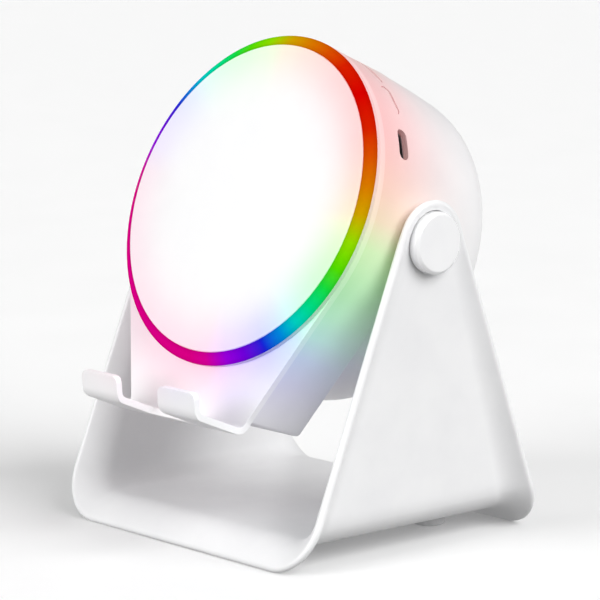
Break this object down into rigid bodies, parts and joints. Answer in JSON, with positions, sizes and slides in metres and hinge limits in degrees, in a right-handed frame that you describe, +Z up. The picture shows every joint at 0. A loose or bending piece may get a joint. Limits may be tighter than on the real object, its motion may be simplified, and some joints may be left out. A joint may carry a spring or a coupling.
{
  "type": "usb hub",
  "caption": "Round desk hub with a glowing ring, a wireless charging face and a two-hook phone ledge, tilting on a friction hinge between the arms of a flared white stand.",
  "frame": {"origin": "on the table, under the middle of the whole part", "axes": "+X to the right along the hinge, -Y to the front, +Z up"},
  "size_m": [0.1132, 0.1122, 0.1449],
  "materials": {
    "stand_plastic": "satin white moulding",
    "body_plastic": "satin white moulding",
    "face_plastic": "smooth white",
    "cap_plastic": "gloss white",
    "button_plastic": "gloss white",
    "light_diffuser": "frosted, lit in changing colours",
    "inner_plastic": "matt",
    "rubber": "matt",
    "copper": "enamelled copper wire",
    "magnet": "nickel plated",
    "ferrite": "matt sheet",
    "circuit_board": "solder mask",
    "led": "diode package",
    "chip": "moulded package",
    "aluminium": "plain",
    "port_steel": "plated",
    "port_plastic": "matt",
    "ribbon": "flat cable",
    "screw_steel": "plated",
    "brass": "plain"
  },
  "bodies": {
    "stand": {"stand_frame": "stand_plastic", "rubber_feet": "rubber"},
    "head": {"body_shell": "body_plastic", "front_plate": "body_plastic", "light_ring": "light_diffuser", "face_disc": "face_plastic", "coil_tray": "inner_plastic", "charging_coil": "copper", "magnet_ring": "magnet", "ferrite_sheet": "ferrite", "led_board": "circuit_board", "ring_leds": "led", "main_board": "circuit_board", "board_chips": "chip", "heat_spreader": "aluminium", "side_usb_c_shell": "port_steel", "side_usb_c_tongue": "port_plastic", "usb_a_shells": "port_steel", "usb_a_tongues": "port_plastic", "input_usb_c_shell": "port_steel", "input_usb_c_tongue": "port_plastic", "port_board": "circuit_board", "board_ribbon": "ribbon", "rear_cover": "body_plastic", "cover_screws": "screw_steel", "board_screws": "screw_steel", "button_switches": "chip", "hinge_insert_left": "brass", "hinge_insert_right": "brass", "hinge_screw_left": "screw_steel", "hinge_screw_right": "screw_steel", "friction_washer_left": "rubber", "friction_washer_right": "rubber", "hinge_cap_left": "cap_plastic", "hinge_cap_right": "cap_plastic"},
    "mode_button": {"mode_button": "button_plastic"},
    "power_button": {"power_button": "button_plastic"}
  },
  "joints": [
    {"name": "head_tilt", "type": "hinge", "parent": "stand", "child": "head", "pos_m": [0, 0.00722, 0.0896], "axis": [-1, 0, 0], "range_deg": [-22.1, 67.9]},
    {"name": "mode_press", "type": "slide", "parent": "head", "child": "mode_button", "axis": [-0.4352, -0.3387, -0.8342], "range_m": [0, 0.0005], "stiffness_N_per_m": 1500, "springref_m": -0.0003},
    {"name": "power_press", "type": "slide", "parent": "head", "child": "power_button", "axis": [-0.6717, -0.2787, -0.6864], "range_m": [0, 0.0005], "stiffness_N_per_m": 1500, "springref_m": -0.0003}
  ]
}
